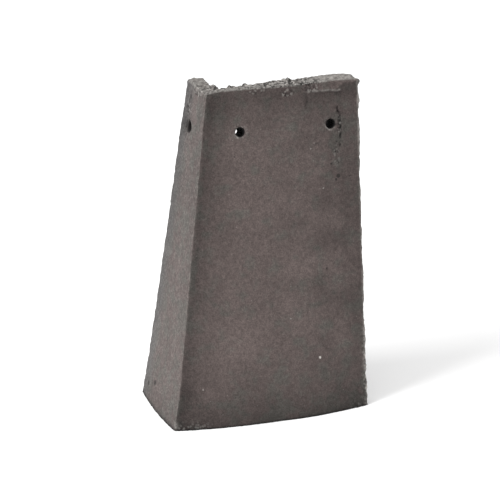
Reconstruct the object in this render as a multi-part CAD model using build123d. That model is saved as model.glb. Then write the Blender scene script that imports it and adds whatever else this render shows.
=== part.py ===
# External angle tile in concrete, for the corner of a tile-hung wall. All lengths are in millimetres.
# Two legs meet in an arris at the front left: the long leg, one tile wide, faces -Y, and the short leg,
# half a tile wide, faces -X. Both lean in from the tail, which stands on Z = 0, up to the head.
# The outline is drawn from the tail's end of the arris, and the finished tile is moved to its place last.
import os
from math import atan2, cos, degrees, sin, sqrt

from build123d import *

# Legs
leg_length = 265.0  # along the slope, from the tail to the head
long_leg_width = 166.0  # across the tail, from the arris to the free edge
short_leg_width = 84.0
lean_in = 38.3  # how far each face steps in between the tail and the head
thickness = 12.5  # square to the slope

# Curvature of both faces
tail_camber_radius = 380.0  # the faces are rounded outward across the tail
head_camber_radius = 2400.0  # and are nearly flat across the head
mid_dish = 1.0  # hollow along the slope, half way up

# Rounded corners and edges
arris_round = 2.0
root_round = 6.0  # in the angle between the legs, at the back
free_edge_round = 1.2  # where each free edge meets the outer face
end_edge_round = 0.8  # round the head and the tail

# Nail holes, square to the slope of their own leg
nail_hole_diameter = 7.6
nail_mouth_bevel = 0.8  # worn at the outer face
nail_row_below_head = 31.6  # along the slope
first_hole_from_arris = 30.8  # on the long leg
second_hole_from_free_edge = 24.9
short_leg_hole_share = 0.55  # of the short leg's back, from the root to the free edge
drill_overrun = 6.0

# Values that follow from the sizes above
height = sqrt(leg_length**2 - lean_in**2)
lean = atan2(lean_in, height)
level_thickness = thickness / cos(lean)
mid_height_share = 0.5


# Radius of the camber at a share of the height: the curvature fades evenly from the tail to the head
def camber_radius(height_share):
    return 1 / ((1 - height_share) / tail_camber_radius + height_share / head_camber_radius)


# Step from the tail's arris to the faces at a share of the height: an even lean and a shallow hollow
def step_in(height_share):
    return lean_in * height_share + 4 * mid_dish * height_share * (1 - height_share)


# The angle's outline at a share of the height: each leg is the space between two like arcs
def angle_section(height_share):
    outer = step_in(height_share)
    inner = outer + level_thickness
    radius = camber_radius(height_share)
    arris = Vector(outer, outer)
    long_tip = Vector(long_leg_width, outer)
    long_tip_back = Vector(long_leg_width, inner)
    root = Vector(inner, inner)
    short_tip_back = Vector(inner, short_leg_width)
    short_tip = Vector(outer, short_leg_width)
    outline = [
        RadiusArc(arris, long_tip, -radius),
        Line(long_tip, long_tip_back),
        RadiusArc(long_tip_back, root, radius),
        RadiusArc(root, short_tip_back, radius),
        Line(short_tip_back, short_tip),
        RadiusArc(short_tip, arris, -radius),
    ]
    return Pos(0, 0, height * height_share) * make_face(outline)


# Rounds the edge between tail and head that passes nearest to a point
def round_long_edge(angle, point, radius):
    long_edges = angle.edges() - angle.faces().filter_by(Axis.Z).edges()
    return fillet(long_edges.sort_by_distance(point)[0], radius)


# Both legs in one casting, lofted through the tail, the hollow half way up and the head.
# The back corners of the free edges stay sharp, as they leave the mould.
def cast_angle():
    angle = loft([angle_section(share) for share in (0, mid_height_share, 1)])
    middle = height * mid_height_share
    outer = step_in(mid_height_share)
    inner = outer + level_thickness
    angle = round_long_edge(angle, (long_leg_width, outer, middle), free_edge_round)
    angle = round_long_edge(angle, (outer, short_leg_width, middle), free_edge_round)
    angle = round_long_edge(angle, (inner, inner, middle), root_round)
    angle = round_long_edge(angle, (outer, outer, middle), arris_round)
    return fillet(angle.faces().filter_by(Axis.Z).edges(), end_edge_round)


# Centre lines of the nail holes, each as the plane of its leg at the hole, with the normal facing out
def nail_planes():
    row_share = 1 - nail_row_below_head / leg_length
    face = step_in(row_share)
    row_height = height * row_share
    long_leg_out = Vector(0, -cos(lean), sin(lean))
    short_leg_out = Vector(-cos(lean), 0, sin(lean))
    planes = []
    for across in (face + first_hole_from_arris, long_leg_width - second_hole_from_free_edge):
        planes.append(Plane(origin=(across, face, row_height), z_dir=long_leg_out))
    root = face + level_thickness
    short_across = root + short_leg_hole_share * (short_leg_width - root)
    planes.append(Plane(origin=(face, short_across, row_height), z_dir=short_leg_out))
    return planes


# One nail hole through the leg, with the edge of its mouth worn back
def pierce(tile, plane):
    drill_length = thickness + 2 * drill_overrun
    drill = plane * Pos(0, 0, -thickness / 2) * Cylinder(nail_hole_diameter / 2, drill_length)
    tile = tile - drill
    mouth = plane.origin + plane.z_dir * thickness
    rim = tile.edges().filter_by(lambda edge: edge.is_closed).sort_by_distance(mouth)[0]
    return chamfer(rim, nail_mouth_bevel)


# Stands the tile on Z = 0, with its box centred on the Z axis
def stood(tile):
    box = tile.bounding_box()
    return Pos(-box.center().X, -box.center().Y, -box.min.Z) * tile


angle_tile = cast_angle()
for nail_plane in nail_planes():
    angle_tile = pierce(angle_tile, nail_plane)
angle_tile = stood(angle_tile)

os.makedirs("parts", exist_ok=True)
export_step(angle_tile, "parts/angle_tile.step")
print(f"angle tile: height {height:.2f}, lean {degrees(lean):.2f} degrees, volume {angle_tile.volume / 1000:.1f} ml")
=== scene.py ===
import bpy
import numpy as np
from mathutils import Matrix, Vector


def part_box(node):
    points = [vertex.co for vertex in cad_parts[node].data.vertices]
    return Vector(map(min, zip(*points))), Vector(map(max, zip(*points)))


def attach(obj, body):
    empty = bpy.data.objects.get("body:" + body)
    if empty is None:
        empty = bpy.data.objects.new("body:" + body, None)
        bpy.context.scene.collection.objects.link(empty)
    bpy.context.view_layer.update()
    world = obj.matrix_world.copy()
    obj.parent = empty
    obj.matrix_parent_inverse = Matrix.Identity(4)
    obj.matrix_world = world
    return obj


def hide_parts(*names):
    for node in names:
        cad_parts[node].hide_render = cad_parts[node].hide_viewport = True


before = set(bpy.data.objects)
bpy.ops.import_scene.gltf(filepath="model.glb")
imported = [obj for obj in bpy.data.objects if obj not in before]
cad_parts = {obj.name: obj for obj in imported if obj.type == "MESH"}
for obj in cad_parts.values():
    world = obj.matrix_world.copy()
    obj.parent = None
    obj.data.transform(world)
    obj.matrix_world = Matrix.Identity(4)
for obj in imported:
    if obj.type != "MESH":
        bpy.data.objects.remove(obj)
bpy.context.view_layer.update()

mm = 0.001

# The tile stands on its tail. Its outer corner, the arris, is at the front left. The long leg's face looks to
# -Y and the short leg's to -X. "Corner" places are counted from the point where the arris meets the floor.
tile = {
    "longLeg": 166 * mm,  # across the tail
    "shortLeg": 84 * mm,
    "leanIn": 38.3 * mm,  # step of both faces between tail and head
    "thick": 12.5 * mm,
    "tailCamber": 380 * mm,  # radius of the rounded faces
    "headCamber": 2400 * mm,
    "dish": 1.0 * mm,
    "arrisRound": 1.3 * mm,
    "rootRound": 6 * mm,
    "rimRound": 0.9 * mm,  # free edges, head and tail
    "holeBelowHead": 31.6 * mm,  # along the slope
    "holeRadius": 3.8 * mm,
    "firstHole": 30.8 * mm,  # from the arris
    "secondHole": 24.9 * mm,  # from the free edge
    "shortHoleShare": 0.55,
}
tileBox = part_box("angle_tile")
tileHeight = tileBox[1][2]
cornerPlace = np.array([tileBox[1][0] - tile["longLeg"], tileBox[1][1] - tile["shortLeg"], 0])
leanAngle = np.arctan2(tile["leanIn"], tileHeight)
farAway = 9.0  # more than any distance here

# Tables of random numbers on a lattice of cubes, for the noise and the crumbs
lattice = {
    "entries": 8192,
    "noiseShift": 517.3,  # in cubes
    "crumbShift": 211.7,
    "crumbReach": 0.7,  # a crumb's radius, in cubes
}


# Step of the faces at height z: an even lean plus a parabola for the hollow half way up
def stepIn(z):
    share = z / tileHeight
    return tile["leanIn"] * share + 4 * tile["dish"] * share * (1 - share)


# Camber curvature at height z: fades evenly from one over the tail's radius to one over the head's
def camberCurve(z):
    share = z / tileHeight
    return (1 - share) / tile["tailCamber"] + share / tile["headCamber"]


# Smooth step: 3s^2 - 2s^3 of the share of the way from low to high
def smoothStep(value, low, high):
    share = np.clip((value - low) / (high - low), 0, 1)
    return share * share * (3 - 2 * share)


# Random table entries for whole-number grid places: three large primes mix the coordinates
def tableRow(spot):
    mixed = spot[:, 0] * 73856093 ^ spot[:, 1] * 19349663 ^ spot[:, 2] * 83492791
    return mixed % lattice["entries"]


# Value noise, -1 to 1: random numbers on a lattice of cubes of the given size, blended by smooth steps
def softNoise(points, size, seed):
    table = np.random.default_rng(seed).random(lattice["entries"]) * 2 - 1
    grid = points / size + lattice["noiseShift"]
    cell = np.floor(grid).astype(np.int64)
    part = grid - cell
    part = part * part * (3 - 2 * part)
    total = np.zeros(len(points))
    for corner in range(8):
        side = np.array([corner & 1, corner >> 1 & 1, corner >> 2 & 1])
        weight = np.where(side, part, 1 - part).prod(axis=1)
        total += weight * table[tableRow(cell + side)]
    return total


# Sum of value noises, each half as large and half as strong as the one before
def layeredNoise(points, size, seed, layers=3):
    return sum(softNoise(points, size / 2**n, seed + n) / 2**n for n in range(layers))


# Crumbs, 0 to 1: one random grain in each cube of the given size, highest at its middle, falling as a
# parabola. Only the given share of the cubes holds a grain.
def crumbs(points, size, seed, filled=0.6):
    table = np.random.default_rng(seed).random((lattice["entries"], 4))
    grid = points / size + lattice["crumbShift"]
    cell = np.floor(grid).astype(np.int64)
    highest = np.zeros(len(points))
    for n in range(27):
        spot = cell + np.array([n % 3, n // 3 % 3, n // 9]) - 1
        entry = table[tableRow(spot)]
        reach = np.linalg.norm(grid - spot - entry[:, :3], axis=1)
        strength = np.clip((entry[:, 3] - 1 + filled) / filled, 0, 1)
        highest = np.maximum(highest, strength * np.clip(1 - (reach / lattice["crumbReach"]) ** 2, 0, 1))
    return highest


# Bell curve of a distance: 1 at nought, 0.37 at one width
def bell(distance, width):
    return np.exp(-((distance / width) ** 2))


# A window along a line: 0 outside, 1 between low and high, with smooth steps of the given softness
def window(value, low, high, soft):
    return smoothStep(value, low - soft, low + soft) * (1 - smoothStep(value, high - soft, high + soft))


# Distance to a bent line through a few points, as the least distance to its straight runs
def lineDistance(across, up, line):
    nearest = np.full(len(across), farAway)
    for (x0, y0), (x1, y1) in zip(line, line[1:]):
        dx, dy = x1 - x0, y1 - y0
        share = np.clip(((across - x0) * dx + (up - y0) * dy) / (dx**2 + dy**2), 0, 1)
        nearest = np.minimum(nearest, np.hypot(across - x0 - share * dx, up - y0 - share * dy))
    return nearest


# Grid lines in one direction: equal cells between each two stops
def gridLines(stops, cells):
    runs = [np.linspace(low, high, n, endpoint=False) for low, high, n in zip(stops, stops[1:], cells)]
    return np.concatenate(runs + [np.array(stops[-1:])])


# Vertex normals: each face's crossed diagonals, summed at its corners and made one long
def gridNormals(points, quads):
    corners = points[quads]
    normals = np.cross(corners[:, 2] - corners[:, 0], corners[:, 3] - corners[:, 1])
    total = np.zeros_like(points)
    for n in range(4):
        np.add.at(total, quads[:, n], normals)
    return total / np.maximum(np.linalg.norm(total, axis=1, keepdims=True), 1e-12)


# The casting's mesh is the skin of a block grid: columns go round the angle from the short leg's free edge
# through the arris to the long leg's, rows go up from the tail, and layers go in from the outer face.
# Every number of cells is even, because the plain back has cells twice as large.
mesh = {
    "holeHalf": 7.5 * mm,  # half the square of cells round each hole
    "holeCells": 12,  # cells in that half
    "openCells": 5,  # of them inside the hole
    "longCells": (6, 22, 24, 72, 24, 24, 8),
    "shortCells": (6, 22, 24, 12, 8),
    "rowCells": (8, 20, 124, 24, 24, 36, 16),
    "layerCells": (3, 7, 3),
    "arrisZone": 3 * mm,
    "edgeZone": 3 * mm,
    "headZone": 10 * mm,
    "rowStops": (30 * mm, 200 * mm),  # between these heights, rows are evenly spaced
    "rimLayers": 1.3,  # rim radii that the outermost layers fill
    "squeeze": 22 * mm,  # beyond this distance from the arris, inner columns lie behind outer ones
    "endFade": 15 * mm,  # near the tail and the head, layers go in level
}

# The head: rough where the casting was struck off, swollen towards the far end of the long leg, with a bevel
# broken away above a thin lip. Places along the head are counted from the corner, and a span is the start and
# the end of a smooth step.
head = {
    "along": (38, 50, 77, 95, 120, 136, 152, 160, 164.5, 166),  # places for the next two lines, all in mm
    "frontRise": (0.5, 1.9, 1.9, 1.6, 1.6, 1.2, 1.8, 1.6, 1.2, 1.0),
    "backRise": (0.2, 0.3, 1.3, 2.5, 2.6, 3.6, 3.5, 3.2, 2.3, 1.2),
    "shortRise": 0.6 * mm,  # at the short leg's free edge
    "shortSpan": (55 * mm, 80 * mm),
    "riseDown": 9 * mm,  # the rise fades out this far below the head
    "thicker": 2.0 * mm,  # at the back
    "thickerSpan": (60 * mm, 122 * mm),
    "thickerEnd": 12 * mm,  # it fades out towards the free edge
    "thickerDown": (20 * mm, 60 * mm),  # and below the head
    "worn": 0.3 * mm,
    "wornFar": 1.6 * mm,  # towards the far end
    "farSpan": (125 * mm, 140 * mm),
    "wornUneven": 0.6,
    "wornSize": 3.5 * mm,
    "recessLow": 5.4 * mm,
    "recessDeep": 1.1 * mm,
    "recessWindow": (121.5 * mm, 149 * mm, 4 * mm),
    "lip": 0.6 * mm,
    "lipWindow": (122.5 * mm, 150.5 * mm, 1.2 * mm),
    "lipWidth": 0.7 * mm,
    "lipWander": 0.6 * mm,
    "lipSize": 8 * mm,
    "angle": tile["leanIn"] + 12 * mm,  # the angle between the legs is this far from both faces' planes
    "angleReach": 13 * mm,
    "pitsSpan": (68 * mm, 132 * mm),  # where most pits are
    "pitsEnd": (130 * mm, 144 * mm),  # and where most of them end
    "crumbsSpan": (58 * mm, 128 * mm),
    # Lumps on the head: place from the corner, radius and height, in mm
    "lumps": ((49, 53, 3.0, 2.6), (64, 50, 2.6, 0.8), (110, 51, 3.2, 2.6)),
    "chip": 1.2 * mm,  # at the head of the long leg's free edge
    "cutBack": 1.5 * mm,  # how far the arris stands back at the head
}
# Places where the skin has crumbled: distance along the leg (negative on the short one) and below the head,
# half width and half height, in mm, and strength
crumbledPlaces = (
    (105, 4.6, 7.0, 3.0, 0.6),
    (80, 2.4, 10.0, 1.8, 0.4),
    (126, 3.2, 8.5, 3.0, 0.6),
    (148.5, 33, 2.6, 9.0, 0.7),
    (145.5, 57, 4.5, 10.0, 0.3),
    (-56, 3.8, 13, 2.2, 0.55),
    (-72, 19, 7.0, 8.0, 0.3),
    (128.5, 46, 4.0, 1.6, 0.5),
)
# Broken line beside the second hole, in mm along the leg and below the head
scar = {
    "line": ((147.0, 18.6), (147.6, 22.0), (149.6, 24.5), (149.6, 30.7), (150.2, 35.5), (148.8, 48.9)),
    "width": 0.8,
    "wander": 0.6,
    "depth": 1.1 * mm,
    "deepest": 21,  # mm below the head
    "crumbsAside": 2.2,
    "crumb": 0.5 * mm,
}
rim = {
    "long": 0.45 * mm,  # how far the long leg's free edge wanders
    "short": 0.14 * mm,
    "arris": 0.4 * mm,
    "notch": 0.6 * mm,
    "chip": 0.6 * mm,
    "grain": 0.5 * mm,  # small crumbs low on the long leg's free edge
    "lowSpan": (-100 * mm, -30 * mm),  # those crumbs, by height downward
    "calm": 0.65,  # how much smoother the free edges are half way up
    "calmFrom": (20 * mm, 60 * mm),
    "calmTo": (150 * mm, 215 * mm),
    "arrisWidth": 2 * mm,
    "notchWidth": 1.3 * mm,
    # Bumps and dips of the long leg's free edge: distance below the head, height and width, in mm
    "bumps": ((7, -0.1, 3), (15, 0.8, 3), (24, -0.4, 3), (33, -0.3, 3), (79, -0.7, 10), (129, -0.5, 6),
              (184, -0.6, 8), (206, 0.7, 6), (223, 0.5, 6), (255, -0.7, 5)),
}

print("grid of the casting")
holeRow = tileHeight * (1 - tile["holeBelowHead"] / np.hypot(tileHeight, tile["leanIn"]))
holeStep = stepIn(holeRow)
holeLevel = tile["thick"] / np.cos(leanAngle)
longWidth = tile["longLeg"] - holeStep
shortWidth = tile["shortLeg"] - holeStep
longHoles = (tile["firstHole"], longWidth - tile["secondHole"])
shortHole = holeLevel + tile["shortHoleShare"] * (shortWidth - holeLevel)
half = mesh["holeHalf"]


# Grid stops along a leg: the arris zone, both sides of each hole's square, the edge zone
def legStops(holes, width):
    sides = [place + step for place in holes for step in (-half, half)]
    return [0, mesh["arrisZone"], *sides, width - mesh["edgeZone"], width]


rowStops = [0, mesh["edgeZone"], *mesh["rowStops"], holeRow - half, holeRow + half,
            tileHeight - mesh["headZone"], tileHeight]
rimDeep = tile["rimRound"] * mesh["rimLayers"]
layerStops = [0, rimDeep, tile["thick"] - rimDeep, tile["thick"]]
longLines = gridLines(legStops(longHoles, longWidth), mesh["longCells"]) / longWidth
shortLines = gridLines(legStops((shortHole,), shortWidth), mesh["shortCells"]) / shortWidth
columns = np.concatenate([-shortLines[:0:-1], longLines])
rows = gridLines(rowStops, mesh["rowCells"])
layers = gridLines(layerStops, mesh["layerCells"])
holeRowIndex = int(np.argmin(abs(rows - holeRow)))
headRowIndex = int(np.argmin(abs(rows - tileHeight + mesh["headZone"])))
holeShares = (longHoles[0] / longWidth, longHoles[1] / longWidth, -shortHole / shortWidth)
holeColumns = [int(np.argmin(abs(columns - place))) for place in holeShares]

onSkin = np.ones((len(columns), len(rows), len(layers)), bool)
onSkin[1:-1, 1:-1, 1:-1] = False
inside = mesh["openCells"] - 1
for column in holeColumns:
    onSkin[column - inside:column + inside + 1, holeRowIndex - inside:holeRowIndex + inside + 1, :] = False
ids = np.full(onSkin.shape, -1)
ids[onSkin] = np.arange(onSkin.sum())
columnOf, rowOf, layerOf = np.nonzero(onSkin)
legSide = np.where(columns[columnOf] < 0, -1, 1)
legFull = np.where(legSide > 0, tile["longLeg"], tile["shortLeg"])

# The plain back: below the head and off the holes, odd columns and rows move to the even ones beside them
backLayer = len(layers) - 1 - mesh["layerCells"][2]
plainBack = (layerOf >= backLayer) & (rowOf <= headRowIndex)
for column in holeColumns:
    plainBack &= np.maximum(abs(columnOf - column), abs(rowOf - holeRowIndex)) >= mesh["holeCells"]
movedTo = ids[columnOf - columnOf % 2 * plainBack, rowOf - rowOf % 2 * plainBack, layerOf]


# Four corners of every cell of one side of the block, dropped where a corner is missing
def sideQuads(side, flip):
    corners = np.stack([side[:-1, :-1], side[1:, :-1], side[1:, 1:], side[:-1, 1:]], axis=-1).reshape(-1, 4)
    corners = corners[(corners >= 0).all(axis=1)]
    return corners[:, ::-1] if flip else corners


sides = []
for axis, flipFirst in ((2, False), (1, True), (0, False)):
    sides.append(sideQuads(ids.take(0, axis), flipFirst))
    sides.append(sideQuads(ids.take(-1, axis), not flipFirst))
quads = movedTo[np.concatenate(sides)]


# Rounded rim: a point nearer to an edge than the radius goes to the ball round the nearest core point
def roundRim(fromEdge, z, depth, radius):
    place = np.stack([fromEdge, z, depth], axis=1)
    low = np.full(3, radius)
    high = np.array([farAway, tileHeight - radius, tile["thick"] - radius])
    core = np.clip(place, low, high)
    away = place - core
    reach = np.linalg.norm(away, axis=1, keepdims=True)
    return (core + away * radius / np.maximum(reach, 1e-9)).T


# Broken head edge: what lies above a slanting line through face and head moves square onto that line
def breakEdge(depth, z, low, deep):
    length = np.hypot(low, deep)
    over = ((z - tileHeight + low) * deep - depth * low) / length
    over = np.maximum(over, 0)
    return depth + over * low / length, z - over * deep / length


# Grid place to leg place: the row sinks by depth times sine of the lean, since layers go in square to the
# slope, and columns near the arris are squeezed past the root. Gives the distance along the leg, from the
# corner, and z.
def legPlace(share, z, depth, full):
    fade = smoothStep(np.minimum(z, tileHeight - z), 0, mesh["endFade"])
    lowered = z - depth * np.sin(leanAngle) * fade
    level = depth / np.cos(leanAngle)
    along = abs(share) * (full - stepIn(lowered))
    squeezed = level + along * (mesh["squeeze"] - level) / mesh["squeeze"]
    return stepIn(lowered) + np.where(along < mesh["squeeze"], squeezed, along), lowered


# How the short leg's face and the arris stand in from their planes, and where
stoodIn = {
    "foot": (1.2 * mm, 30 * mm, 22 * mm),  # how far, height and reach
    "middle": (0.9 * mm, 75 * mm, 35 * mm),
    "head": 0.8 * mm,
    "headSpan": (226 * mm, 240 * mm),
    "headAcross": (10 * mm, 35 * mm),
    "shortAcross": (20 * mm, 70 * mm),  # half of it fades out over this span
    "longAcross": 14 * mm,  # it ends this far along the long leg
}


# How far the arris stands in above the tail: two bell curves of the height
def bowIn(z):
    return sum(deep * bell(z - place, reach) for deep, place, reach in (stoodIn["foot"], stoodIn["middle"]))


# How far the short leg's far side stands in near the head
def headBow(z, fromCorner):
    high = smoothStep(z, *stoodIn["headSpan"])
    return stoodIn["head"] * high * smoothStep(fromCorner, *stoodIn["headAcross"])


# Leg place to the corner frame: the face stands back by the step and the depth, less the camber's parabola,
# and near the arris it follows the arc of the outer corner or, at the back, of the root
def castPoints(across, z, depth, side, full):
    level = depth / np.cos(leanAngle)
    start = stepIn(z) + level
    bulge = np.maximum((across - start) * (full - across), 0) * camberCurve(z) / 2
    inShare = np.clip(depth / tile["thick"], 0, 1)
    radius = tile["arrisRound"] + (tile["rootRound"] - tile["arrisRound"]) * inShare
    centre = start + radius
    dx = across - centre
    dy = start - centre
    pull = np.where(dx < 0, radius / np.hypot(dx, dy), 1)
    along = np.where(dx < 0, centre + dx * pull, across)
    back = centre + dy * pull - bulge
    farFade = 0.5 * smoothStep(across - start, *stoodIn["shortAcross"])
    nearArris = np.where(side > 0, 1 - smoothStep(across - start, 0, stoodIn["longAcross"]), 1 - farFade)
    bow = bowIn(z) * nearArris + np.where(side > 0, 0, headBow(z, across - start))
    bow = bow * (1 - inShare)
    x = np.where(side > 0, along, back) + bow
    y = np.where(side > 0, back, along)
    return np.stack([x, y, z], axis=1)


share = columns[columnOf][movedTo]
rowHeight = rows[rowOf][movedTo]
fromEdge = (1 - abs(share)) * (legFull - stepIn(rowHeight))
fromEdge, rowHeight, depth = roundRim(fromEdge, rowHeight, layers[layerOf], tile["rimRound"])
share = 1 - fromEdge / (legFull - stepIn(rowHeight))

# Wear of the head's edge: small and uneven everywhere, and the broken bevel towards the long leg's far end
headAcross = tile["leanIn"] + share * (legFull - tile["leanIn"])
alongHead = np.where(legSide > 0, headAcross, -headAcross)
noiseLine = alongHead[:, None] * [1, 0, 0]
wearNoise = 1 + head["wornUneven"] * layeredNoise(noiseLine, head["wornSize"], 11)
farShare = smoothStep(alongHead, *head["farSpan"])
recessShare = window(alongHead, *head["recessWindow"])
wear = head["worn"] + (head["wornFar"] - head["worn"]) * farShare
wear = wear * (wearNoise + (1 - wearNoise) * recessShare)
lipLow = head["worn"] + head["recessLow"] + head["lipWander"] * layeredNoise(noiseLine, head["lipSize"], 21)
cutLow = wear + (lipLow - wear) * np.sqrt(recessShare)
cutDeep = wear + recessShare * head["recessDeep"]
cutDepth, cutHeight = breakEdge(depth, rowHeight, cutLow, cutDeep)
onBevel = smoothStep(cutDepth - depth + rowHeight - cutHeight, 0, 0.5 * mm)
depth, rowHeight = cutDepth, cutHeight
across, height = legPlace(share, rowHeight, depth, legFull)

# Cells round a hole: ring m goes from the hole's circle at the open cells to the square that they fill
hole = {
    "radius": tile["holeRadius"],
    "worn": (0.25 * mm, 0.2 * mm, 0.9 * mm),  # how much wider each mouth is
    "wider": (1.0, 1.0, 1.3),  # mouth's width over its height
    "aside": (0, 0, -1.2 * mm),  # how far each mouth lies from its bore, away from the arris
    "lower": (0, 0, 2.0 * mm),
    "wearDeep": (1.0 * mm, 1.0 * mm, 4.5 * mm),
    # Painted shade in each bore: how deep it takes to grow full, and its strength
    "darkDeep": (1.0 * mm, 1.0 * mm, 2.4 * mm),
    "dark": (0.8, 0.8, 0.88),
    "darkLater": (0, 0, 2.5),  # how much deeper the painted shade starts on the wall away from the arris
    "tighter": (1.6 * mm, 2.0 * mm, 0.6 * mm),  # how much narrower each is at the back
    "drop": 1.0 * mm,  # the far end sinks
    "rim": 0.55 * mm,  # the rim sinks
    "rimWidth": 1.1 * mm,
}
holeCentres = []
holeReach = np.full(len(across), farAway)
mouths = [hole[name] for name in ("worn", "wider", "aside", "lower", "tighter")]
mouths = list(zip(holeColumns, (1, 1, -1), *mouths))
for column, side, worn, wider, aside, lower, tighter in mouths:
    full = tile["longLeg"] if side > 0 else tile["shortLeg"]
    stepU = columnOf - column
    stepV = rowOf - holeRowIndex
    ring = np.maximum(abs(stepU), abs(stepV))
    onFace = (layerOf == 0) | (layerOf == len(layers) - 1)
    near = (ring < mesh["holeCells"]) & (ring >= mesh["openCells"]) & onFace
    stretch = mesh["holeCells"] / ring[near]
    columnStep = abs(columns[column + 1] - columns[column])
    rowStep = rows[holeRowIndex + 1] - rows[holeRowIndex]
    edgeShare = columns[column] + stepU[near] * stretch * columnStep
    edgeAcross, edgeZ = legPlace(edgeShare, holeRow + stepV[near] * stretch * rowStep, depth[near], full)
    turn = np.arctan2(stepV[near], stepU[near] * side)
    midShare = np.full(near.sum(), columns[column])
    midAcross, midZ = legPlace(midShare, np.full(near.sum(), holeRow), depth[near], full)
    front = layerOf[near] == 0
    radius = hole["radius"] + np.where(front, worn, -tighter)
    circleAcross = midAcross + np.where(front, aside, 0) + radius * np.where(front, wider, 1) * np.cos(turn)
    circleZ = midZ + radius * np.sin(turn) * np.cos(leanAngle) - np.where(front, lower, hole["drop"])
    grow = (ring[near] - mesh["openCells"]) / (mesh["holeCells"] - mesh["openCells"])
    across[near] = circleAcross + grow * (edgeAcross - circleAcross)
    height[near] = circleZ + grow * (edgeZ - circleZ)
    reach = np.hypot((across - midAcross[0] - aside) / wider, height - midZ[0] + lower)
    reach = reach - hole["radius"] - worn
    sameLeg = (legSide == side) & (depth < 0.5 * tile["thick"])
    holeReach = np.where(sameLeg, np.minimum(holeReach, abs(reach)), holeReach)
    ends = np.array([0, tile["thick"]])
    middle = legPlace(np.full(2, columns[column]), np.full(2, holeRow), ends, full)
    holeCentres.append((middle[0], middle[1], ends, np.full(2, side), np.full(2, full)))


# The uneven head: its front and back edges rise by the given amounts along it, evened between them and faded
# down the leg, and the far end is thicker at the back
def swollen(along, z, depth):
    inShare = np.clip(depth / tile["thick"], 0, 1)
    front = np.interp(along / mm, head["along"], head["frontRise"]) * mm
    back = np.interp(along / mm, head["along"], head["backRise"]) * mm
    rise = front + (back - front) * smoothStep(inShare, 0, 0.9)
    rise = rise + head["shortRise"] * smoothStep(-along, *head["shortSpan"])
    higher = rise * smoothStep(z, tileHeight - head["riseDown"], tileHeight)
    thicker = smoothStep(along, *head["thickerSpan"])
    thicker = thicker * smoothStep(tile["longLeg"] - along, 0, head["thickerEnd"])
    faded = 1 - smoothStep(tileHeight - z, *head["thickerDown"])
    return z + higher, depth + head["thicker"] * thicker * faded * inShare


height, depth = swollen(across * legSide, height, depth)
points = castPoints(across, height, depth, legSide, legFull)

# Hollow broken out between the short leg's hole and its free edge
hollow = {
    "from": 81 * mm,  # along the leg
    "long": 9.5 * mm,
    "below": 32.5 * mm,
    "half": 5 * mm,
    "deep": 1.9 * mm,
    "fade": (62 * mm, 70 * mm),  # past the hole
}


# Share of the hollow's depth: grows evenly towards the hole, fades past it, and is a bell curve up and down
def brokenHollow(along, below):
    inward = np.clip((hollow["from"] - along) / hollow["long"], 0, 1) * smoothStep(along, *hollow["fade"])
    return inward * bell(below - hollow["below"], hollow["half"])


# Bore walls: rings of the hole's radius along its axis, wider at the worn mouth, joined to both faces
boreDepths = np.array([0.03, 0.07, 0.13, 0.25, 0.4, 0.55, 0.7, 0.85, 0.95])
openRing = mesh["openCells"]
run = np.arange(-openRing, openRing)
ringU = np.concatenate([run, np.full(2 * openRing, openRing), -run, np.full(2 * openRing, -openRing)])
ringV = np.concatenate([np.full(2 * openRing, -openRing), run, np.full(2 * openRing, openRing), -run])
skinCount = len(points)
paintedBoreShade = []
for n, (column, side, worn, wider, aside, lower, tighter) in enumerate(mouths):
    place = holeCentres[n]
    swollenZ, swollenDepth = swollen(place[0] * side, place[1], place[2])
    centres = castPoints(place[0], swollenZ, swollenDepth, place[3], place[4])
    acrossDirection = np.array([1, 0, 0]) if side > 0 else np.array([0, 1, 0])
    axis = (centres[1] - centres[0]) / np.linalg.norm(centres[1] - centres[0])
    slopeDirection = np.cross(acrossDirection, axis)
    slopeDirection = slopeDirection * np.sign(slopeDirection[2])
    turn = np.arctan2(ringV, ringU * side)[None, :, None]
    shareIn = boreDepths[:, None, None]
    if side < 0:
        rimAcross = place[0][0] + aside + (hole["radius"] + worn) * wider * np.cos(turn)
        rimBelow = tileHeight - place[1][0] + lower - (hole["radius"] + worn) * np.sin(turn)
        sunk = hollow["deep"] / tile["thick"] * brokenHollow(rimAcross, rimBelow)
        shareIn = sunk + (1 - sunk) * shareIn
    mouth = np.clip(1 - shareIn * tile["thick"] / hole["wearDeep"][n], 0, 1) ** 2
    radius = hole["radius"] + worn * mouth - tighter * shareIn
    rings = centres[0] + (centres[1] - centres[0]) * shareIn - np.array([0, 0, hole["drop"]]) * shareIn
    rings = rings + mouth * (aside * acrossDirection - lower * slopeDirection)
    ringWidth = 1 + (wider - 1) * mouth
    rings = rings + radius * (ringWidth * np.cos(turn) * acrossDirection + np.sin(turn) * slopeDirection)
    # Painted shade on the bore walls, growing deeper in and starting later on the wall away from the arris
    later = 1 + hole["darkLater"][n] * np.maximum(np.cos(turn[0, :, 0]), 0)
    darkness = smoothStep(boreDepths[:, None] * tile["thick"] / later, -0.5 * mm, hole["darkDeep"][n])
    paintedBoreShade.append(hole["dark"][n] * darkness.ravel())
    first = len(points)
    points = np.concatenate([points, rings.reshape(-1, 3)])
    between = np.arange(first, len(points)).reshape(len(boreDepths), -1)
    outerRing = ids[column + ringU, holeRowIndex + ringV, 0]
    innerRing = ids[column + ringU, holeRowIndex + ringV, -1]
    wall = np.vstack([outerRing, between, innerRing])
    after = np.roll(wall, -1, axis=1)
    wallQuads = np.stack([wall[:-1], after[:-1], after[1:], wall[1:]], axis=-1).reshape(-1, 4)
    quads = np.concatenate([quads, wallQuads])


# The same value for every bore point, after the skin's own values
def withBores(values, boreValue=0.0):
    return np.concatenate([values, np.full(len(points) - skinCount, boreValue)])


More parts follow.
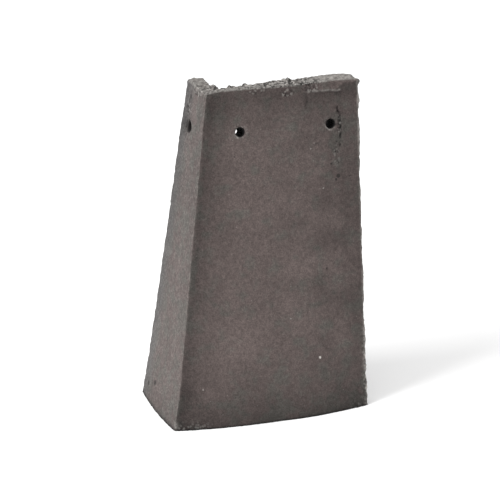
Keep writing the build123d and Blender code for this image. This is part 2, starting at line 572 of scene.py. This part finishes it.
# Zones of the skin, by how far each reaches from its own face, and relief. A row of the relief is height,
# size, seed and, for crumbs, the share of the cells filled.
skin = {
    "sharp": 0.2 * mm,  # where the zones start to fade
    "face": 2 * mm,
    "top": 2.2 * mm,
    "topPale": (1.1 * mm, 2.8 * mm),  # on the long and on the short leg
    "end": 2.5 * mm,
    "backShare": 0.7,  # of the thickness
    "roughEnd": 0.8,
    "roughBack": 0.25,
    "swell": (0.30 * mm, 48 * mm, 1),
    "ripple": (0.12 * mm, 14 * mm, 2),
    "grain": (0.05 * mm, 3 * mm, 3),
    "roughSwell": (0.35 * mm, 6 * mm, 5),
    "roughCrumb": (0.35 * mm, 2.6 * mm, 31, 0.5),
    "roughPit": (0.5 * mm, 3.4 * mm, 41, 0.4),
    "paleSpot": (0.5 * mm, 2.2 * mm, 91, 0.5),
    "darkSpot": (0.7 * mm, 2.0 * mm, 93, 0.9),
    "headPit": (1.3 * mm, 2.5 * mm, 43, 0.75),
    "headCrumb": (1.4 * mm, 3.4 * mm, 51, 0.55),
    "footCrumb": (0.4 * mm, 1.8 * mm, 117, 0.45),
    "footPit": (0.5 * mm, 6 * mm, 121, 0.4),
    "footSwell": (1.3 * mm, 12 * mm),  # along the far part of the long leg's foot
    "footSpan": (80 * mm, 120 * mm),
    "floor": -0.05 * mm,  # nothing reaches lower
}

print("relief of the casting")
isLong = withBores((legSide > 0).astype(float))
isShort = 1 - isLong
solid = withBores(np.ones(skinCount))  # 1 on the skin, 0 in the bores
along = withBores(across)
signedAlong = np.where(isLong > 0, along, -along) / mm
below = withBores(tileHeight - rowHeight)
up = withBores(rowHeight)
within = withBores(depth)
fromFree = withBores(fromEdge)
fromHole = withBores(holeReach, 1.0)
paintedBoreShade = np.concatenate([np.zeros(skinCount)] + paintedBoreShade)
fromArris = np.maximum(points[:, 0], points[:, 1]) - stepIn(points[:, 2])
outerFace = (1 - smoothStep(within, skin["sharp"], skin["face"])) * solid
longFace = isLong * outerFace
topFace = (1 - smoothStep(below, 0, skin["top"])) * solid
topSkin = (1 - smoothStep(below, skin["sharp"], np.where(isLong > 0, *skin["topPale"]))) * solid
onBevel = withBores(onBevel)
endFace = (1 - smoothStep(fromFree, 0, skin["end"])) * solid
backFace = smoothStep(within, skin["backShare"] * tile["thick"], tile["thick"]) * solid
rough = np.clip(topFace + onBevel + skin["roughEnd"] * endFace + skin["roughBack"] * backFace, 0, 1)


# Noise or crumbs from a row of the skin's table
def uneven(name, kind):
    high, *how = skin[name]
    return high * kind(points, *how)


relief = uneven("swell", softNoise) + uneven("ripple", softNoise) + uneven("grain", layeredNoise)
relief += rough * uneven("roughSwell", layeredNoise)
relief += rough * (uneven("roughCrumb", crumbs) - uneven("roughPit", crumbs))

# Crumbled places, 0 to 1, and deeper pits in the head, most in the middle of the long leg's
inAngle = bell(np.hypot(points[:, 0] - head["angle"], points[:, 1] - head["angle"]), head["angleReach"])
manyPits = isLong * window(along, *head["pitsSpan"], 9 * mm)
pitted = topSkin * np.clip(0.3 + 0.7 * manyPits + 0.6 * inAngle, 0, 1)
pitted = pitted * (1 - 0.8 * isLong * smoothStep(along, *head["pitsEnd"]))
stretched = points * np.where(isLong[:, None] > 0, [1, 0.55, 1], [0.55, 1, 1])
pitDeep, *pit = skin["headPit"]
headPits = pitted * smoothStep(crumbs(stretched, *pit), 0.1, 0.45)
relief -= pitDeep * headPits
lowEdge = smoothStep(-up, *rim["lowSpan"])
crumbledFoot = bell(up, 5 * mm) * (1 - window(along, 28 * mm, 150 * mm, 8 * mm))
crumbledEdge = bell(fromFree, 3 * mm) * lowEdge
crumbled = pitted + longFace * np.maximum(0.5 * crumbledFoot, 0.75 * crumbledEdge)
crumbled += 0.35 * longFace * bell(fromHole, 2.2 * mm)
for x, down, width, high, strength in crumbledPlaces:
    reach = np.hypot((signedAlong - x) / width, (below / mm - down) / high)
    crumbled += np.maximum(outerFace, onBevel) * strength * (1 - smoothStep(reach, 0.5, 1.1))
crumbled = np.clip(crumbled + 0.12 * isShort * outerFace, 0, 1)

# Larger crumbs stand on the head's back edge and in the angle between the legs
backEdge = topFace * smoothStep(within, 0.55 * tile["thick"], 0.95 * tile["thick"])
crumbly = 0.15 + 0.3 * isShort + 0.85 * isLong * window(along, *head["crumbsSpan"], 6 * mm) + inAngle
crumbly = backEdge * np.clip(crumbly, 0, 1.2)
crumbHigh, *crumb = skin["headCrumb"]
crumbRelief = crumbly * crumbs(points, *crumb)
relief += crumbHigh * crumbRelief
for x, y, width, high in head["lumps"]:
    relief += topFace * high * mm * bell(np.hypot(points[:, 0] - x * mm, points[:, 1] - y * mm), width * mm)

# Free edges and the arris wander in and out, with chips
edgeWander = np.where(isLong > 0, rim["long"], rim["short"])
calmMiddle = smoothStep(up, *rim["calmFrom"]) * (1 - smoothStep(up, *rim["calmTo"]))
roughEnds = 1 - rim["calm"] * calmMiddle
relief += endFace * edgeWander * roughEnds * (layeredNoise(points, 7 * mm, 61, 3) + 0.35)
relief -= endFace * outerFace * rim["chip"] * roughEnds * crumbs(points, 5 * mm, 71, 0.3)
relief += isLong * endFace * rim["grain"] * lowEdge * (crumbs(points, 2.6 * mm, 73, 0.6) - 0.3)
for down, high, width in rim["bumps"]:
    relief += isLong * endFace * high * mm * bell(below - down * mm, width * mm)
onArris = bell(fromArris, rim["arrisWidth"]) * outerFace
relief -= onArris * rim["arris"] * (0.5 + layeredNoise(points, 3.2 * mm, 81, 3))
relief -= bell(fromArris, 3 * mm) * outerFace * head["cutBack"] * bell(below, 7 * mm)
arrisNotches = bell(fromArris - 0.4 * mm, rim["notchWidth"]) * outerFace
arrisNotches = arrisNotches * smoothStep(crumbs(points, 2.8 * mm, 131, 0.6), 0.1, 0.6)
relief -= rim["notch"] * arrisNotches
headChip = isLong * endFace * bell(below - 1.4 * mm, 1.8 * mm) * (1 - smoothStep(within, 1.5 * mm, 5 * mm))
relief += head["chip"] * headChip

# Lip under the bevel, the crumbled places' own relief, and the scar near the second hole
lipLine = withBores(lipLow)
lipSpan = longFace * window(along, *head["lipWindow"]) * (0.6 + 0.4 * layeredNoise(points, 4 * mm, 87))
relief += lipSpan * head["lip"] * bell(below - lipLine - 0.2 * mm, head["lipWidth"])
crumbledSkin = np.maximum(outerFace, onBevel) * crumbled
darkDeep, *dark = skin["darkSpot"]
paleHigh, *pale = skin["paleSpot"]
darkSpots = crumbledSkin * smoothStep(crumbs(points, *dark), 0.15, 0.5)
paleSpots = crumbledSkin * smoothStep(crumbs(points, *pale), 0.2, 0.6) * (1 - darkSpots)
relief += paleHigh * paleSpots - darkDeep * darkSpots
scarPlace = along / mm + scar["wander"] * layeredNoise(points, 3 * mm, 101)
scarReach = lineDistance(scarPlace, below / mm, scar["line"])
scarStrength = 0.65 + 0.8 * layeredNoise(points, 3 * mm, 103) + bell(below / mm - scar["deepest"], 4)
scarred = longFace * bell(scarReach, scar["width"]) * np.clip(scarStrength, 0.2, 1)
relief -= scarred * scar["depth"]
besideScar = longFace * bell(scarReach - scar["crumbsAside"], 1.2)
relief += besideScar * scar["crumb"] * crumbs(points, 2.2 * mm, 107, 0.5)

# Rims of the nail holes sink a little
holeRim = bell(fromHole, hole["rimWidth"]) * outerFace
relief -= hole["rim"] * holeRim
hollowed = isShort * outerFace * brokenHollow(along, tileHeight - points[:, 2])
relief -= hollow["deep"] * hollowed

# Small crumbs and pits along the foot, which swells under the far part of the long leg
footHigh, *foot = skin["footCrumb"]
footCrumbs = outerFace * bell(up, 2.2 * mm) * crumbs(points, *foot)
relief += footHigh * footCrumbs
relief -= outerFace * bell(up, 1.6 * mm) * uneven("footPit", crumbs)
swellHigh, swellReach = skin["footSwell"]
relief += swellHigh * longFace * smoothStep(along, *skin["footSpan"]) * bell(up, swellReach)

normals = gridNormals(points, quads)
points = points + normals * relief[:, None] * solid[:, None] + cornerPlace
points[:, 2] = np.maximum(points[:, 2], skin["floor"])

# Closed mesh: a quad with two corners in the same place becomes a triangle, and a flat one goes
same = quads == np.roll(quads, -1, axis=1)
wholeQuads = quads[same.sum(axis=1) == 0]
oneSame = same.sum(axis=1) == 1
triangles = quads[oneSame][~same[oneSame]].reshape(-1, 3)
used = np.zeros(len(points), bool)
used[wholeQuads] = True
used[triangles] = True
renumber = np.cumsum(used) - 1
faces = renumber[wholeQuads].tolist() + renumber[triangles].tolist()
castMesh = bpy.data.meshes.new("castAngle")
castMesh.from_pydata(points[used].tolist(), [], faces)
castMesh.polygons.foreach_set("use_smooth", np.ones(len(castMesh.polygons), bool))


# A new object in the scene's collection
def addObject(name, data):
    thing = bpy.data.objects.new(name, data)
    bpy.context.collection.objects.link(thing)
    return thing


casting = addObject("castAngle", castMesh)
print("triangles", 2 * len(wholeQuads) + len(triangles))

# Painted shade: how bright each place is painted, as a share of the concrete's own colour. It is darker
# towards the long leg's edges, under the head and towards the tail, and the short leg is lighter in its lower
# part. A few lighter and darker areas and spots, and a real stain, are added. The first three tables give
# places and shares, evened out between them. Bare lengths are in mm.
paintedShadeAndStain = {
    # Painted shade across the long leg, darker at the arris and towards the free edge
    "across": (
        (0, 0.03, 0.07, 0.13, 0.22, 0.5, 0.75, 0.9, 1),
        (0.55, 0.58, 0.73, 0.86, 1, 1, 0.88, 0.74, 0.69),
    ),
    "below": ((0, 3, 8, 16, 40), (0.72, 0.64, 0.66, 0.80, 0.96)),  # painted shade under the head
    "up": ((0, 3, 10, 30, 55, 95, 130), (0.48, 0.54, 0.64, 0.86, 1.04, 1.05, 1)),  # painted shade near the tail, counted from the tail
    "blur": 0.25,  # how much noise moves these places
    "blurSize": 16 * mm,
    # Areas of the long leg: share of its width from, to and softness, height from, to and softness, change
    "areas": (
        (0.575, 2, 0.125, -99, 180, 30, 0.12),
        (0.86, 2, 0.06, 104, 160, 12, -0.08),
        (0.08, 0.45, 0.08, 30, 75, 20, 0.07),
        (0, 0.25, 0.08, 90, 165, 20, -0.06),
        (0.86, 2, 0.11, -99, 60, 25, 0.14),
    ),
    # Spots: distance along the leg (negative on the short one) and below the head, height over width,
    # radius and change
    "spots": (
        (144, 49, 2, 8, -0.26),
        (157, 14, 1.5, 9, 0.2),
        (100, 32, 1.5, 9, 0.14),
        (-80, 35, 1, 10, -0.25),
    ),
    # The short leg's painted shade by height: the share at the tail, and for each smooth step its start, end
    # and change
    "short": (0.86, (8, 24, 0.14), (120, 220, -0.10)),
    "nearFree": (1.1, (20, 110, -0.22), (170, 210, -0.088)),
    "nearCorner": (1, (50, 110, -0.13), (165, 200, 0.026)),
    "middle": (1, (10, 40, 0.04), (70, 100, -0.04)),
    "onBevel": 0.86,
    "freeZone": (3 * mm, 26 * mm),
    "cornerZone": (5 * mm, 28 * mm),
    # A stain's line down from the head, in mm: along the leg, and how far it slants in each millimetre
    "stainAlong": 122.0,
    "stainSlant": 0.1,
    "stainWidth": 1.3,
    "stainSpan": (6 * mm, 17 * mm, 2 * mm),
    "back": 0.85,
}
# How green the concrete is, as a change of its patches
tint = {
    "dark": 0.24,  # greener where the painted shade is darker
    "evenShade": 0.86,
    "foot": -0.15,  # browner at the arris side of the foot, near the head of the arris and up the leg
    "footSpan": (-110 * mm, -40 * mm),
    "footAcross": (0.12, 0.4),
    "arris": -0.25,
    "arrisSpan": (24 * mm, 62 * mm, 6 * mm),
    "head": -0.06,
    "headSpan": (80 * mm, 170 * mm),
    "upperArris": 0.07,
    "upperAcross": (0, 5 * mm, 1 * mm),
    "upperSpan": (70 * mm, 110 * mm),
    "short": 0.03,
    "bores": -0.3,
    "coolShort": 0.15,  # share of the cool colour
    "coolEdge": 0.75,
}


# Share by height: a first share, changed by smooth steps
def byHeight(name):
    first, *steps = paintedShadeAndStain[name]
    return first + sum(change * smoothStep(up, low * mm, high * mm) for low, high, change in steps)


# Painted shade of the long leg: by its width, under the head and up from the tail, with lighter and darker
# areas
blur = 1 + paintedShadeAndStain["blur"] * layeredNoise(points, paintedShadeAndStain["blurSize"], 111)
faceShare = (along - stepIn(up)) / (tile["longLeg"] - stepIn(up))
longPaintedShade = np.interp(faceShare * blur, *paintedShadeAndStain["across"])
for place, name in ((below, "below"), (up, "up")):
    longPaintedShade = longPaintedShade * np.interp(place / mm * blur, *paintedShadeAndStain[name])
for left, right, soft, low, high, softUp, change in paintedShadeAndStain["areas"]:
    inArea = window(faceShare, left, right, soft) * window(up, low * mm, high * mm, softUp * mm)
    longPaintedShade = longPaintedShade * (1 + change * inArea)
nearFree = isShort * (1 - smoothStep(fromFree, *paintedShadeAndStain["freeZone"]))
nearCorner = 1 - smoothStep(along - stepIn(up), *paintedShadeAndStain["cornerZone"])
# Painted shade of the short leg, by height, near its free edge and near its corner
shortPaintedShade = byHeight("short")
for zone, name in ((nearFree, "nearFree"), (nearCorner, "nearCorner"), (1 - nearCorner, "middle")):
    shortPaintedShade = shortPaintedShade * (1 + zone * (byHeight(name) - 1))
# Both legs' painted shade, then spots, among them a real stain, a lighter bevel and an even back
paintedShadeAndTone = np.where(isLong > 0, longPaintedShade, shortPaintedShade)
for x, down, tall, reach, change in paintedShadeAndStain["spots"]:
    away = np.hypot(signedAlong - x, (below / mm - down) / tall)
    paintedShadeAndTone = paintedShadeAndTone * (1 + change * bell(away, reach))
paintedShadeAndTone = np.maximum(paintedShadeAndTone, paintedShadeAndStain["onBevel"] * onBevel)
paintedShadeAndTone = np.where(backFace > 0.5, paintedShadeAndStain["back"], paintedShadeAndTone)
cool = outerFace * np.clip(tint["coolShort"] * isShort + tint["coolEdge"] * nearFree, 0, 1)
greenShare = tint["dark"] * (tint["evenShade"] - paintedShadeAndTone)
footTint = smoothStep(-up, *tint["footSpan"]) * (1 - smoothStep(faceShare, *tint["footAcross"]))
arrisTint = bell(fromArris, rim["arrisWidth"]) * window(below, *tint["arrisSpan"])
upperTint = window(fromArris, *tint["upperAcross"]) * smoothStep(up, *tint["upperSpan"])
greenShare += tint["foot"] * footTint + tint["arris"] * arrisTint + tint["upperArris"] * upperTint
greenShare += tint["head"] * smoothStep(up, *tint["headSpan"])
greenShare = np.where(isLong > 0, greenShare, tint["short"])
greenShare = np.where(solid < 1, tint["bores"], greenShare)

# Stains, dark marks and painted shade, each with the share of the colour that it takes away where it is full:
# a real stain, the scar's groove (a dark mark, and partly painted shade in the groove), painted shade deep in
# the bores, a painted contact shadow along the foot, a painted shadow under the lip, painted shade on the
# sides of the crumbs, in the head's pits, in the hollow, in the dips of the crumbled places and in the
# notches of the arris, and a darker chip at the head
stainPlace = paintedShadeAndStain["stainAlong"] - paintedShadeAndStain["stainSlant"] * below / mm - layeredNoise(points, 4 * mm, 113)
stain = bell(along / mm - stainPlace, paintedShadeAndStain["stainWidth"]) * window(below, *paintedShadeAndStain["stainSpan"]) * longFace
# Painted contact shadow along the foot, where the tile meets the floor
paintedContactShadow = (1 - backFace) * np.where(isLong > 0, bell(up, 1.7 * mm), 1.2 * bell(up, 2.6 * mm))
# Painted shadow as a thin dark line under the lip
paintedShadowUnderLip = lipSpan * bell(below - lipLine - 1.4 * mm, 0.6 * mm) * smoothStep(along, 130 * mm, 137 * mm)
darkening = (
    (stain, 0.45), (np.clip(scarred, 0, 1), 0.75), (paintedBoreShade, 1), (paintedContactShadow, 0.75), (paintedShadowUnderLip, 0.35),
    (np.clip(1.5 * crumbRelief, 0, 1), 0.6), (headPits, 0.78), (headChip, 0.6), (hollowed, 0.5),
    (darkSpots, 0.7), (isLong * arrisNotches, 0.35),
)
marksAndPaintedShade = np.ones_like(along)
for mark, taken in darkening:
    marksAndPaintedShade = marksAndPaintedShade * (1 - taken * mark)

# How far the skin is broken down to its paler inside, together with painted highlights along the lip, the
# arris, the lower left rims of the long leg's holes and, partly, the long leg's free edge
# A painted highlight along the lip's edge
paintedLipHighlight = lipSpan * bell(below - lipLine, 0.5 * mm)
arrisFoot = bell(np.linalg.norm(points - cornerPlace - np.array([1, 1, 4]) * mm, axis=1), 2.4 * mm)
cornerChip = longFace * bell(np.hypot(fromFree - 1 * mm, up - 2.5 * mm), 2.5 * mm)
# Painted highlights on the lower left rims of the long leg's holes, which face up into the light
paintedRimHighlight = np.zeros_like(along)
for place in longHoles:
    spot = np.hypot(along - place - holeStep + 2.6 * mm, below - tileHeight + holeRow - 3.4 * mm)
    paintedRimHighlight = np.maximum(paintedRimHighlight, isLong * bell(spot, 3 * mm))
# The head's top is broken and paler; the long leg's free edge and its rim are paler, partly from wear and
# partly as painted light from the surround
brokenShare = topSkin * (0.8 + 0.2 * isLong) * (1 - 0.8 * onBevel) + isLong * (0.4 + 0.3 * lowEdge) * endFace
brokenShare += longFace * (0.5 * bell(fromFree, 1.5 * mm) + 0.25 * crumbledEdge) + 0.5 * cornerChip
brokenShare += 0.85 * paintedLipHighlight + 0.32 * paleSpots * (0.5 + 0.5 * isLong)
brokenShare += (0.15 + 0.85 * paintedRimHighlight) * holeRim + 0.5 * arrisFoot + 0.2 * footCrumbs
# A faint painted highlight along the arris
brokenShare += 0.04 * onArris
# A painted highlight along the short leg's side of the arris, broken up by crumbs
paintedArrisHighlight = isShort * outerFace * bell(fromArris, 1.6 * mm)
brokenShare += 0.35 * paintedArrisHighlight * crumbs(points, 3.2 * mm, 141, 0.5)
# Attributes for the material; the brightness share and the darkening carry painted shade as well as tone,
# stains and marks
surface = {"broken": np.clip(brokenShare, 0, 1), "crumbled": crumbled, "paintedShadeAndTone": paintedShadeAndTone,
           "green": greenShare, "cool": cool, "marksAndPaintedShade": marksAndPaintedShade}
for name, values in surface.items():
    attribute = castMesh.attributes.new(name, "FLOAT", "POINT")
    attribute.data.foreach_set("value", values[used].astype(np.float32))


# The concrete, with its colours in linear light
concrete = {
    "brown": (0.092, 0.0725, 0.068, 1),
    "green": (0.0835, 0.0762, 0.069, 1),
    "cool": (0.080, 0.0775, 0.0765, 1),
    "broken": (0.25, 0.235, 0.22, 1),
    # painted shade in the pits
    "pit": (0.020, 0.018, 0.017, 1),
    "fleck": (0.62, 0.60, 0.56, 1),
    # Noises: scale per metre, detail and roughness. Where more follows, the noise is taken between two of its
    # values, from one result to another.
    "patch": (80, 2.5, 0.6),
    "cloud": (28, 3, 0.5, 0.3, 0.7, 0.925, 1.075),
    "coarse": (330, 2, 0.6, 0.3, 0.7, 0.86, 1.14),
    "grain": (900, 3, 0.7, 0.25, 0.75, 0.68, 1.32),
    "brokenGrain": (330, 3, 0.7, 0.36, 0.6, 0.62, 1.12),
    "brokenPatch": (260, 3, 0.6, 0.3, 0.6, 0.55, 1.0),
    "outline": (700, 2, 0.5),
    "sand": (420, 4, 0.75),
    "pebble": (150, 3, 0.5),
    "greenSpan": (0.44, 0.68),
    # Sprinkled marks: cells per metre, radius in cells, share of the cells, seed and strength
    "smallPits": (190, 0.14, 0.09, 3.1, 0.5),
    "smallFlecks": (210, 0.13, 0.08, 8.3, 0.1),
    "brokenPits": (560, 0.75, 0.4, 5.7, 1.0),
    "brokenFlecks": (520, 0.75, 0.4, 9.1, 0.3),
    "sprinkleCore": 0.5,  # a mark is at its full strength within this share of its radius
    "markCore": 0.45,
    "warp": 1.2 * mm,  # how uneven the outlines of marks are
    "firstFleck": 0.7,
    "otherFlecks": 0.2,
    "pitDark": 0.85,
    "specular": 0.25,
    "roughness": 0.93,
    "bump": 0.55,
    "bumpHeight": 0.8 * mm,
    "pebbleHigh": 0.8,  # over the sand's height
    "pitHigh": -1.2,
    "fleckHigh": 0.5,
}
# Pale flecks, and pits painted dark as the shade in them: distance from the corner along the leg, height and
# radius, in mm
flecks = ((123.9, 46.4, 1.4), (132.9, 180.8, 1.1), (100, 80.7, 0.9), (123.4, 212.7, 0.7), (143.5, 16.8, 0.6),
          (24.7, 31.7, 0.9))
pits = ((133.3, 116.6, 0.9), (59.5, 212.1, 0.8), (16.6, 2.2, 1.3), (146.1, 216.5, 0.9), (144.7, 208.7, 1.1),
        (140.6, 199.4, 0.9), (146.5, 189.1, 2.3), (156.6, 188.0, 0.7), (120.5, 222, 0.8), (144.4, 186.6, 1.3))
shortPits = ((54.9, 19.5, 3.0), (70.1, 13.5, 3.0), (71, 251.5, 2.6), (75, 243.4, 1.9), (71.3, 240, 1.8),
             (60.6, 257.8, 1.6), (71, 226, 1.6))


# Points on a leg's outer face, from distances along it and heights: side 1 is the long leg, -1 the short
def facePlaces(spots, side=1):
    distance, z, radius = np.array(spots).T * mm
    full = np.full(len(z), tile["longLeg"] if side > 0 else tile["shortLeg"])
    return castPoints(distance, z, np.zeros_like(z), np.full(len(z), side), full) + cornerPlace, radius


# Sets a node's inputs, by name or number, and links those that are given as another node's output
def setInputs(node, inputs):
    for name, value in inputs.items():
        if isinstance(value, bpy.types.NodeSocket):
            node.id_data.links.new(value, node.inputs[name])
        else:
            node.inputs[name].default_value = value


def addMaterial(name):
    material = bpy.data.materials.new(name)
    material.use_nodes = True
    return material, material.node_tree.nodes["Principled BSDF"]


def concreteMaterial():
    material, shader = addMaterial("castConcrete")

    def addNode(kind, inputs, **settings):
        node = material.node_tree.nodes.new("ShaderNode" + kind)
        for name, value in settings.items():
            setattr(node, name, value)
        setInputs(node, inputs)
        return node

    place = addNode("TexCoord", {}).outputs["Object"]

    def noise(scale, detail, roughness, output="Fac"):
        inputs = {"Scale": scale, "Detail": detail, "Roughness": roughness, "Vector": place}
        return addNode("TexNoise", inputs).outputs[output]

    def ramp(value, low, high, start=0.0, end=1.0):
        inputs = {"Value": value, "From Min": low, "From Max": high, "To Min": start, "To Max": end}
        return addNode("MapRange", inputs, interpolation_type="SMOOTHSTEP").outputs["Result"]

    def combine(operation, first, *others):
        for value in others:
            first = addNode("Math", {0: first, 1: value}, operation=operation).outputs["Value"]
        return first

    def product(*values):
        return combine("MULTIPLY", *values)

    def greatest(*values):
        return combine("MAXIMUM", *values)

    # A noise of the concrete's table between its two values
    def spread(name):
        return ramp(noise(*concrete[name][:3]), *concrete[name][3:])

    def blend(share, first, second, kind="MIX"):
        inputs = {0: share, 6: first, 7: second}
        return addNode("Mix", inputs, data_type="RGBA", blend_type=kind).outputs[2]

    def attribute(name):
        return addNode("Attribute", {}, attribute_name=name).outputs["Fac"]

    # Soft marks round given points, the outline made uneven by noise
    warp = {0: noise(*concrete["outline"], "Color"), 1: (concrete["warp"],) * 3, 2: place}
    warped = addNode("VectorMath", warp, operation="MULTIPLY_ADD").outputs["Vector"]

    def marks(places, radii):
        found = []
        for spot, radius in zip(places, radii):
            ends = {0: warped, 1: tuple(spot + concrete["warp"] / 2)}
            reach = addNode("VectorMath", ends, operation="DISTANCE").outputs["Value"]
            found.append(ramp(reach, radius, radius * concrete["markCore"]))
        return greatest(*found)

    # Random small pits and flecks: the middles of the given share of the cells of a cell pattern
    def sprinkle(name):
        scale, radius, share, seed, strength = concrete[name]
        moved = addNode("VectorMath", {0: place, 1: (seed, seed * 0.7, seed * 1.3)}, operation="ADD")
        cells = addNode("TexVoronoi", {"Scale": scale, "Vector": moved.outputs["Vector"]})
        random = addNode("SeparateColor", {"Color": cells.outputs["Color"]})
        shown = combine("LESS_THAN", random.outputs["Red"], share)
        mark = ramp(cells.outputs["Distance"], radius, radius * concrete["sprinkleCore"])
        return product(shown, mark, strength)

    patches = combine("ADD", noise(*concrete["patch"]), attribute("green"))
    colour = blend(ramp(patches, *concrete["greenSpan"]), concrete["brown"], concrete["green"])
    colour = blend(attribute("cool"), colour, concrete["cool"])
    # The tone takes in the painted shade and tone from the mesh
    tone = product(spread("cloud"), spread("grain"), spread("coarse"), attribute("paintedShadeAndTone"))
    colour = blend(1.0, colour, tone, "MULTIPLY")
    brokenColour = blend(1.0, concrete["broken"], spread("brokenGrain"), "MULTIPLY")
    colour = blend(product(attribute("broken"), spread("brokenPatch")), colour, brokenColour)

    crumbledShare = attribute("crumbled")
    pitMarks = greatest(
        marks(*facePlaces(pits)),
        marks(*facePlaces(shortPits, -1)),
        sprinkle("smallPits"),
        product(crumbledShare, sprinkle("brokenPits")),
    )
    fleckMarks = greatest(
        product(marks(*facePlaces(flecks[:1])), concrete["firstFleck"]),
        product(marks(*facePlaces(flecks[1:])), concrete["otherFlecks"]),
        sprinkle("smallFlecks"),
        product(crumbledShare, sprinkle("brokenFlecks")),
    )
    # Pits are painted dark, as painted shade in them
    colour = blend(product(pitMarks, concrete["pitDark"]), colour, concrete["pit"])
    colour = blend(fleckMarks, colour, concrete["fleck"])
    # Stains, dark marks and painted shade from the mesh darken the colour
    colour = blend(1.0, colour, attribute("marksAndPaintedShade"), "MULTIPLY")

    heightSum = combine(
        "ADD",
        noise(*concrete["sand"]),
        product(noise(*concrete["pebble"]), concrete["pebbleHigh"]),
        product(pitMarks, concrete["pitHigh"]),
        product(fleckMarks, concrete["fleckHigh"]),
    )
    bumpInputs = {"Strength": concrete["bump"], "Distance": concrete["bumpHeight"], "Height": heightSum}
    setInputs(shader, {
        "Base Color": colour,
        "Roughness": concrete["roughness"],
        "Specular IOR Level": concrete["specular"],
        "Normal": addNode("Bump", bumpInputs).outputs["Normal"],
    })
    return material


castMesh.materials.append(concreteMaterial())
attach(casting, "root")
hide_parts("angle_tile")
print("casting done")

# Camera, from the photo's perspective: where it looks at, its angles, distance and lens
view = {
    "aim": Vector((80 * mm, 40 * mm, 130 * mm)),
    "azimuth": -20.63,
    "elevation": 19.52,
    "roll": 0.72,
    "distance": 1734 * mm,
    "slide": (2.80 * mm, 0.21 * mm),
    "focalPixels": 2173,
    "imagePixels": 500,
    "sensor": 36,
}


# Camera frame: back points from the aim to the camera, right is level, up is square to both, then both roll
def makeCamera():
    a, e, r = (np.radians(view[name]) for name in ("azimuth", "elevation", "roll"))
    back = Vector((np.sin(a) * np.cos(e), -np.cos(a) * np.cos(e), np.sin(e)))
    level = Vector((np.cos(a), np.sin(a), 0))
    upright = back.cross(level)
    right = level * np.cos(r) + upright * np.sin(r)
    up = upright * np.cos(r) - level * np.sin(r)
    data = bpy.data.cameras.new("camera")
    data.sensor_width = view["sensor"]
    data.lens = view["focalPixels"] / view["imagePixels"] * view["sensor"]
    data.clip_end = 50
    camera = addObject("camera", data)
    place = view["aim"] + Vector(cornerPlace) + back * view["distance"]
    place = place - right * view["slide"][0] - up * view["slide"][1]
    turn = Matrix((right, up, back)).transposed().to_4x4()
    camera.matrix_world = Matrix.Translation(place) @ turn
    bpy.context.scene.camera = camera


makeCamera()

# Floor and light: a wide white floor, a large soft lamp from the upper left, and an even white surround
studio = {
    "floorSize": 12,
    "floorColour": (0.95, 0.95, 0.95, 1),
    "surround": 0.95,
    "keyPlace": Vector((-2.3, -0.45, 1.7)),
    "keyAim": Vector((0, 0, 0.12)),
    "keySize": 1.2,
    "keyPower": 84,
}


def makeStudio():
    s = studio["floorSize"] / 2
    floorData = bpy.data.meshes.new("floor")
    floorData.from_pydata([(-s, -s, 0), (s, -s, 0), (s, s, 0), (-s, s, 0)], [], [(0, 1, 2, 3)])
    floor = addObject("floor", floorData)
    material, shader = addMaterial("paleFloor")
    setInputs(shader, {"Base Color": studio["floorColour"], "Roughness": 1, "Specular IOR Level": 0})
    floorData.materials.append(material)
    key = bpy.data.lights.new("key", "AREA")
    key.size = studio["keySize"]
    key.energy = studio["keyPower"]
    lamp = addObject("key", key)
    lamp.location = studio["keyPlace"]
    lamp.rotation_euler = (studio["keyAim"] - studio["keyPlace"]).to_track_quat("-Z", "Y").to_euler()
    world = bpy.data.worlds.new("surround")
    world.use_nodes = True
    background = world.node_tree.nodes["Background"]
    setInputs(background, {"Color": (1, 1, 1, 1), "Strength": studio["surround"]})
    bpy.context.scene.world = world
    bpy.context.scene.view_settings.view_transform = "Standard"


makeStudio()
print("camera, floor and light done")

bpy.context.view_layer.update()
